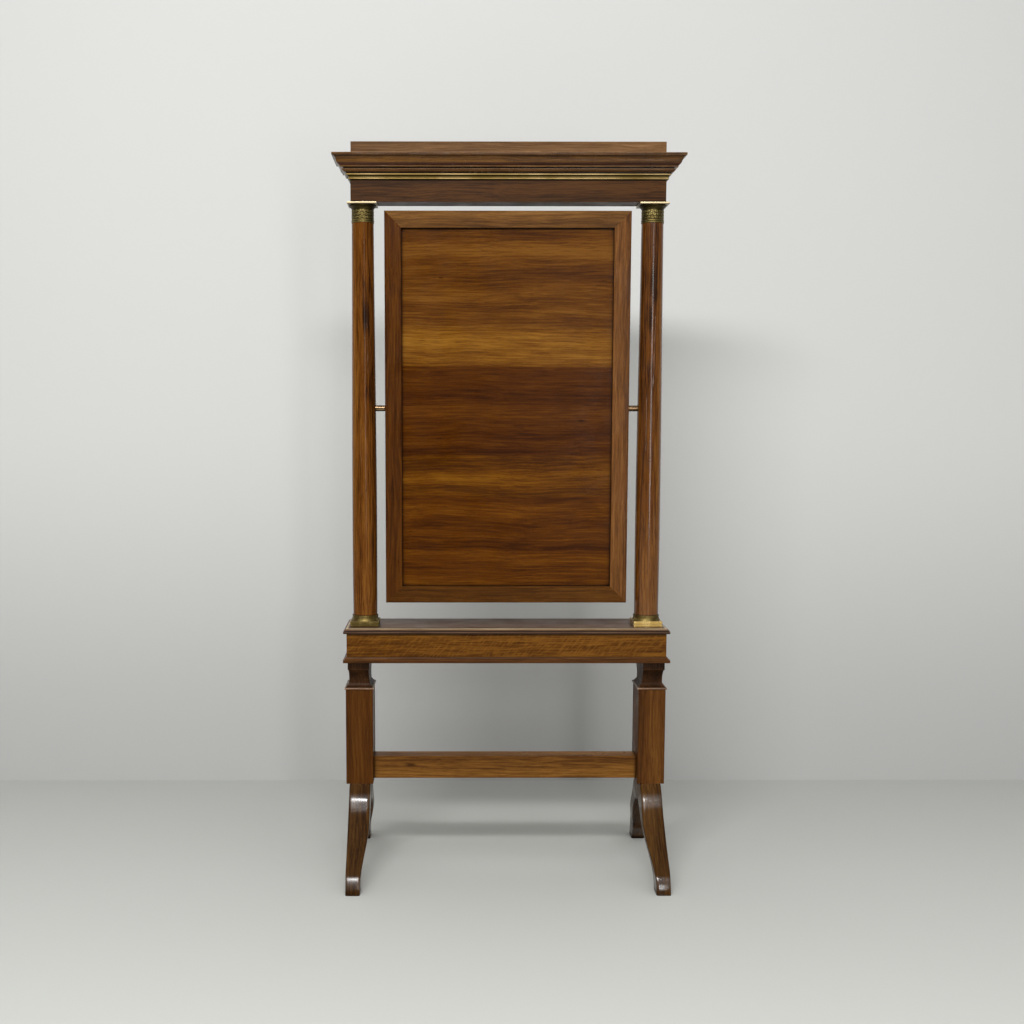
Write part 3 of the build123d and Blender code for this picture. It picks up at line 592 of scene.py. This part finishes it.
# Plinths, rings and abaci: cast brass mounts at the foot and head of each
# column. Those on the right are brighter than those on the left.
dull_brass = aged_brass(
    "dull_brass", paint(156, 136, 84), paint(98, 82, 44), paint(40, 32, 14), gloss=0.5, age=0.7
)
pale_brass = aged_brass(
    "pale_brass",
    paint(250, 236, 204),
    paint(214, 194, 150),
    paint(60, 46, 20),
    gloss=0.3,
    # A painted shadow line along the abacus's lower edge.
    stained_and_shaded=((1.791, 1.7938),),
)
finish(pale_brass, "abacus_left", "abacus_right")
finish(gilt_brass, "plinth_right")
finish(dull_brass, "plinth_left", "base_ring_left", "base_ring_right")


# Columns: two shafts turned from solid wood with a dark, reddish polish. They
# swell a little above the foot, and drying has opened long cracks in them. The
# right one has kept its polish and the left one has lost most of it.
def turned_piece(name, radius, height, axis):
    """A solid turned about a vertical axis.

    radius holds one row of radii for each height, one for each side, and a
    point is the axis plus its radius in the direction of its side.
    """
    rings, sides = radius.shape
    turn = np.arange(sides) * 2 * np.pi / sides
    level = np.broadcast_to(height[:, None], radius.shape)
    east = axis[0] + radius * np.cos(turn)
    north = axis[1] + radius * np.sin(turn)
    points = np.stack((east, north, level), -1)
    ends = [(axis[0], axis[1], height[0]), (axis[0], axis[1], height[-1])]
    points = np.concatenate((points.reshape(-1, 3), ends))
    here = np.arange(rings * sides).reshape(rings, sides)
    beside = np.roll(here, -1, axis=1)
    walls = np.stack((here[:-1], beside[:-1], beside[1:], here[1:]), -1).reshape(-1, 4)
    foot = np.stack((np.full(sides, rings * sides), beside[0], here[0]), -1)
    head = np.stack((np.full(sides, rings * sides + 1), here[-1], beside[-1]), -1)
    mesh = bpy.data.meshes.new(name)
    mesh.from_pydata(points.tolist(), [], walls.tolist() + foot.tolist() + head.tolist())
    mesh.polygons.foreach_set("use_smooth", np.ones(len(mesh.polygons), bool))
    mesh.set_sharp_from_angle(angle=math.radians(38))
    piece = bpy.data.objects.new(name, mesh)
    bpy.context.scene.collection.objects.link(piece)
    return piece


def middle(node):
    """Centre of a CAD node's box."""
    low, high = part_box(node)
    return (low + high) / 2


shaft_radii = (0.0323, 0.0330, 0.0309, 0.0288)
shaft_places = (0.0, 0.332, 0.666, 1.0)
shaft_rings = 400
shaft_sides = 150
crack_depth = 0.0011
crack_width = 0.0009
crack_fade = 0.04
crack_waves = 9
column_shine = {"left": 0.1, "right": 0.42}
column_knots = (
    ((-0.374, -0.059, 1.500), 0.014),
    ((0.379, -0.059, 1.607), 0.013),
    ((0.386, -0.059, 1.560), 0.010),
    ((0.376, -0.059, 1.500), 0.013),
)
# Each crack is its angle on the shaft, the shares of the height where it starts
# and ends, and how far it leans.
cracks = {
    "left": ((-1.75, 0.28, 0.52, 0.05), (-1.2, 0.60, 0.92, -0.04), (-2.3, 0.05, 0.2, 0.03)),
    "right": ((-1.45, 0.58, 0.80, 0.06), (-1.95, 0.40, 0.62, -0.05), (-1.2, 0.1, 0.3, 0.04)),
}
for side, lines in cracks.items():
    foot_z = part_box(f"base_ring_{side}")[1].z
    head_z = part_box(f"capital_{side}")[0].z
    share = np.linspace(0, 1, shaft_rings)
    swell = np.polyval(np.polyfit(shaft_places, shaft_radii, 3), share)
    turn = np.arange(shaft_sides) * 2 * np.pi / shaft_sides
    shaft = np.repeat(swell[:, None], shaft_sides, axis=1)
    for angle, low, high, lean in lines:
        reach = np.clip(np.minimum(share - low, high - share) / crack_fade, 0, 1)
        line = angle + lean * np.sin(share * crack_waves) + lean * (share - low) / (high - low)
        off = np.angle(np.exp(1j * (turn[None, :] - line[:, None])))
        shaft -= crack_depth * reach[:, None] * np.exp(-((off * shaft / crack_width) ** 2))
    level = foot_z + share * (head_z - foot_z)
    column = turned_piece(f"column_shaft_{side}", shaft, level, middle(f"column_{side}"))
    column_wood = polished_wood(
        f"column_wood_{side}",
        paint(34, 14, 3),
        paint(96, 54, 14),
        paint(128, 82, 30),
        "Z",
        gloss=0.16,
        shine=column_shine[side],
        edge_wear_and_glint=0.2,
        relief=0.06,
        shift=0.6,
        knots=column_knots,
    )
    column.data.materials.append(column_wood)
    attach(column, "stand")
    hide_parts(f"column_{side}")

# Capitals: cast and chased brass. Two beads ring the shaft, three rows of small
# rings are chased above them, and a hollow spreads to the square abacus.
capital_sides = 288
capital_rings = 110
ring_count = 16
ring_rows = ((0.02, 0.34), (0.34, 0.66), (0.66, 0.98))
ring_relief = 0.0007
ring_reach = 0.62
ring_width = 0.2
bead_relief = 0.0014
bead_share = 0.2
flare_share = 0.74
flare_end = 0.95
drum_radius = 0.0288
flare_radius = 0.0358
capital_brass = aged_brass(
    "capital_brass",
    paint(186, 168, 108),
    paint(126, 110, 64),
    paint(44, 36, 18),
    gloss=0.42,
    age=0.8,
    rubbed="rubbed",
)
for side in ("left", "right"):
    low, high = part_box(f"capital_{side}")
    share = np.linspace(0, 1, capital_rings)
    in_bead = np.clip(share / bead_share, 0, 1)
    in_flare = np.clip((share - flare_share) / (flare_end - flare_share), 0, 1)
    beads = np.sin(in_bead * 2 * np.pi)
    profile = drum_radius + bead_relief * np.abs(beads) ** 0.6
    profile = profile + (flare_radius - drum_radius) * in_flare**1.8
    turn = np.arange(capital_sides) * 2 * np.pi / capital_sides
    rise = (share - bead_share) / (flare_share - bead_share)
    relief = np.zeros((len(share), capital_sides))
    for row, (low_edge, high_edge) in enumerate(ring_rows):
        beside = 2 * (turn * ring_count / (2 * np.pi) + 0.5 * row) % 2 - 1
        above = 2 * (rise - low_edge) / (high_edge - low_edge) - 1
        away = np.hypot(beside[None, :], above[:, None])
        ring = np.exp(-(((away - ring_reach) / ring_width) ** 2))
        boss = np.exp(-((away / ring_width) ** 2))
        relief = np.maximum(relief, (ring + boss) * (np.abs(above) < 1)[:, None])
    outline = profile[:, None] + ring_relief * relief
    level = low.z + share * (high.z - low.z)
    capital = turned_piece(f"cast_capital_{side}", outline, level, middle(f"capital_{side}"))
    shiny = 0.12 + 0.88 * np.clip(relief + (beads**2)[:, None], 0, 1)
    shiny = np.concatenate((np.broadcast_to(shiny, outline.shape).ravel(), (0.2, 0.2)))
    attribute = capital.data.attributes.new("rubbed", "FLOAT", "POINT")
    attribute.data.foreach_set("value", shiny.astype(np.float32))
    capital.data.materials.append(capital_brass)
    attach(capital, "stand")
    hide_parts(f"capital_{side}")

# Entablature: a beam in dark reddish veneer, brass strips in gold and olive
# round it, a mitred cornice, and a paler low block on top.
frieze_wood = polished_wood(
    "frieze_wood",
    paint(34, 18, 8),
    paint(53, 32, 15),
    paint(80, 50, 23),
    "X",
    gloss=0.38,
    shift=1.4,
)
finish(frieze_wood, "frieze_beam")
# Painted light on the cornice: a painted highlight across the cyma, painted shade at its foot, a
# painted highlight on the fillet below, and a painted shadow line over the brass strip.
cornice_painted_light = (
    (1.8920, 1.9035, (1.1, 1.1, 0.9)),
    (1.8850, 1.8905, (0.45, 0.34, 0.6)),
    (1.8795, 1.8825, (1.6, 1.7, 1.5)),
    (1.8670, 1.8705, (0.3, 0.3, 0.3)),
)
for name, grain, pieces in (
    ("cornice_wood", "X", ("cornice_moulding_front", "cornice_moulding_rear", "cornice_board")),
    ("return_wood", "Y", ("cornice_moulding_left", "cornice_moulding_right")),
):
    cornice_finish = polished_wood(
        name,
        paint(44, 24, 7),
        paint(78, 48, 17),
        paint(110, 74, 34),
        grain,
        gloss=0.26,
        shine=0.2,
        edge=0.0016,
        edge_wear_and_glint=1.0,
        worn_and_lit_edge=paint(176, 140, 100),
        tone_and_light_bands=cornice_painted_light,
    )
    finish(cornice_finish, *pieces)
attic_wood = polished_wood(
    "attic_wood", paint(86, 58, 32), paint(118, 85, 53), paint(148, 112, 76), "X", shift=2.1
)
finish(attic_wood, "attic_block")
strip_brass = aged_brass(
    "strip_brass",
    paint(200, 174, 124),
    paint(124, 102, 56),
    paint(50, 42, 18),
    gloss=0.36,
    age=0.7,
    patch_scale=9.0,
    # The first band is the strip's dark hollow; the second is a painted shadow line under its bead.
    stained_and_shaded=((1.8600, 1.8642), (1.8520, 1.8542)),
)
strips = (f"brass_strip_{side}" for side in ("front", "rear", "left", "right"))
finish(strip_brass, *strips)

# Mirror frame: four flat mitred members in warm brown wood. The grain of each
# runs along it, so that it turns at the mitres.
dark_stile = polished_wood(
    "dark_stile", paint(40, 18, 3), paint(72, 37, 6), paint(94, 54, 12), "Z", gloss=0.3
)
finish(dark_stile, "mirror_stile_left")
warm_stile = polished_wood(
    "warm_stile",
    paint(70, 40, 16),
    paint(110, 69, 31),
    paint(136, 92, 48),
    "Z",
    gloss=0.3,
    shift=0.8,
)
finish(warm_stile, "mirror_stile_right")
warm_rail = polished_wood(
    "warm_rail", paint(66, 40, 15), paint(104, 68, 30), paint(134, 94, 46), "X", gloss=0.3
)
finish(warm_rail, "mirror_rail_top")
dark_rail = polished_wood(
    "dark_rail",
    paint(48, 24, 3),
    paint(78, 44, 8),
    paint(100, 62, 16),
    "X",
    gloss=0.3,
    shift=1.9,
)
finish(dark_rail, "mirror_rail_bottom", "glass_beads")

# Back panel: wide boards glued edge to edge with their grain across, two of
# them much paler than the rest. A painted shadow runs along the top of the panel under the rail,
# with a paler line just below it.
panel_tones_and_shadow = (
    (1.479, 1.900, (1.45, 1.75, 3.0)),
    (1.375, 1.479, (2.1, 2.8, 4.6)),
    (1.030, 1.138, (1.65, 1.95, 1.4)),
    (0.600, 1.030, (1.25, 1.3, 1.0)),
    # A painted shadow under the top rail, and a paler line just below it.
    (1.7315, 1.7440, (0.12, 0.12, 0.12)),
    (1.7280, 1.7303, (1.5, 1.6, 1.7)),
)
panel_wood = polished_wood(
    "panel_wood",
    paint(48, 20, 2),
    paint(73, 36, 3),
    paint(94, 53, 8),
    "X",
    gloss=0.28,
    shine=0.05,
    shift=0.3,
    shade_reach=0.02,
    tone_and_light_bands=panel_tones_and_shadow,
    knots=(
        ((-0.18, -0.0375, 1.606), 0.003),
        ((0.2, -0.0375, 1.23), 0.004),
        ((0.26, -0.0375, 1.617), 0.0022),
    ),
)
finish(panel_wood, "mirror_panel")


# Glass: one flat silvered sheet, clear in the middle, with the grey specks and
# dim rim that old silvering gets at its edges.
def old_silvering(name, node):
    """Mirror finish whose spots grow denser towards the edges of the node's box."""
    low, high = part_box(node)
    material = bpy.data.materials.new(name)
    material.use_nodes = True
    tree = material.node_tree
    shader = tree.nodes["Principled BSDF"]
    place = put(tree, "ShaderNodeTexCoord").outputs["Object"]
    centre = (low + high) / 2
    half = (high - low) / 2
    inward = []
    for axis, halfway, reach in (("X", centre.x, half.x), ("Z", centre.z, half.z)):
        off_centre = math_node(tree, "SUBTRACT", part_of(tree, place, axis), halfway)
        off_centre = math_node(tree, "ABSOLUTE", off_centre)
        inward.append(math_node(tree, "SUBTRACT", reach, off_centre))
    rim = math_node(tree, "MINIMUM", *inward)
    near_edge = math_node(tree, "SUBTRACT", 1.0, smooth_step(tree, rim, 0.002, 0.04))
    spot = noise(tree, place, 160.0, 6.0)
    level = math_node(tree, "ADD", spot, math_node(tree, "MULTIPLY", near_edge, 0.13))
    mask = math_node(tree, "MULTIPLY", smooth_step(tree, level, 0.66, 0.82), 0.75)
    colour = blend_colour(tree, mask, paint(232, 235, 233), paint(138, 134, 124))
    tree.links.new(colour, shader.inputs["Base Color"])
    rough = math_node(tree, "ADD", math_node(tree, "MULTIPLY", mask, 0.3), 0.02)
    tree.links.new(rough, shader.inputs["Roughness"])
    shader.inputs["Metallic"].default_value = 1.0
    return material


finish(old_silvering("old_silvering", "mirror_glass"), "mirror_glass")

# Pivots: brass rods fixed in the columns, bushes on plates in the stiles, and
# the screws of the plates. The rods have gone dark brown.
rod_brass = aged_brass(
    "rod_brass", paint(168, 140, 108), paint(74, 54, 34), paint(24, 16, 9), gloss=0.2, age=0.9
)
finish(rod_brass, "pivot_pin_left", "pivot_pin_right")
finish(dull_brass, "pivot_bush_left", "pivot_bush_right", "pivot_screws")


# Room: a plain pale floor that meets a pale wall a good half metre behind the
# object. Seen from its own back, the wall lets the view through.
def pale_plaster(name, colour, axis, bright_at, dim_at, painted_shade_depth):
    """Matt paint on the front of a sheet, and nothing on its back.

    It carries painted shade, darkening from bright_at to dim_at along the axis.
    """
    material = bpy.data.materials.new(name)
    material.use_nodes = True
    tree = material.node_tree
    shader = tree.nodes["Principled BSDF"]
    place = put(tree, "ShaderNodeTexCoord").outputs["Object"]
    along = part_of(tree, place, axis)
    dim = tuple(c * painted_shade_depth for c in colour[:3]) + (1.0,)
    shade = smooth_step(tree, along, bright_at, dim_at)
    tree.links.new(blend_colour(tree, shade, colour, dim), shader.inputs["Base Color"])
    shader.inputs["Roughness"].default_value = 0.8
    shader.inputs["Specular IOR Level"].default_value = 0.2
    back = put(tree, "ShaderNodeNewGeometry").outputs["Backfacing"]
    clear = put(tree, "ShaderNodeBsdfTransparent").outputs[0]
    either = put(tree, "ShaderNodeMixShader", {0: back, 1: shader.outputs[0], 2: clear}).outputs[0]
    tree.links.new(either, tree.nodes["Material Output"].inputs["Surface"])
    return material


def flat_sheet(name, corners, material):
    """One large flat face of the room."""
    mesh = bpy.data.meshes.new(name)
    mesh.from_pydata(corners, [], [(0, 1, 2, 3)])
    mesh.materials.append(material)
    sheet = bpy.data.objects.new(name, mesh)
    bpy.context.scene.collection.objects.link(sheet)


side = 12.0
wall_y = 0.81
wall_top = 9.0
# Painted shade: the floor darkens towards the wall, and the wall towards the floor.
floor_paint = pale_plaster(
    "floor_paint", paint(208, 209, 204), axis="Y", bright_at=-1.6, dim_at=0.8, painted_shade_depth=0.76
)
flat_sheet(
    "floor",
    [(-side, -side, 0), (side, -side, 0), (side, side, 0), (-side, side, 0)],
    floor_paint,
)
wall_paint = pale_plaster(
    "wall_paint", paint(218, 218, 216), axis="Z", bright_at=1.3, dim_at=0.1, painted_shade_depth=0.78
)
flat_sheet(
    "wall",
    [(-side, wall_y, 0), (side, wall_y, 0), (side, wall_y, wall_top), (-side, wall_y, wall_top)],
    wall_paint,
)

# Light: a soft sky that is bright overhead and dim at the horizon, a wide lamp
# at the ceiling in front of the photographed side, and a tall dim window.
dimmest_sky = 0.1
overhead_gain = 0.8
world = bpy.data.worlds.new("soft_sky")
world.use_nodes = True
sky_tree = world.node_tree
sky_way = put(sky_tree, "ShaderNodeTexCoord").outputs["Generated"]
sky_rise = smooth_step(sky_tree, part_of(sky_tree, sky_way, "Z"), -0.1, 1.0)
sky_level = math_node(sky_tree, "MULTIPLY", sky_rise, overhead_gain)
sky_level = math_node(sky_tree, "ADD", sky_level, dimmest_sky)
background = sky_tree.nodes["Background"]
sky_tree.links.new(sky_level, background.inputs["Strength"])
background.inputs["Color"].default_value = (1.0, 1.0, 1.0, 1.0)
bpy.context.scene.world = world


def soft_lamp(name, place, aim, width, height, power):
    """A lamp as wide and as high as given that points at a place."""
    lamp = bpy.data.lights.new(name, "AREA")
    lamp.shape = "RECTANGLE"
    lamp.size = width
    lamp.size_y = height
    lamp.energy = power
    holder = bpy.data.objects.new(name, lamp)
    bpy.context.scene.collection.objects.link(holder)
    holder.location = place
    holder.rotation_euler = (Vector(aim) - Vector(place)).to_track_quat("-Z", "Y").to_euler()


soft_lamp(
    "ceiling_lamp",
    place=(-0.8, -3.55, 3.7),
    aim=(-0.1, 0.2, 1.4),
    width=2.6,
    height=0.4,
    power=138.0,
)
soft_lamp(
    "window", place=(0.95, -4.5, 1.5), aim=(0.0, 0.0, 1.1), width=0.45, height=1.8, power=27.0
)
bpy.context.scene.view_settings.view_transform = "Standard"
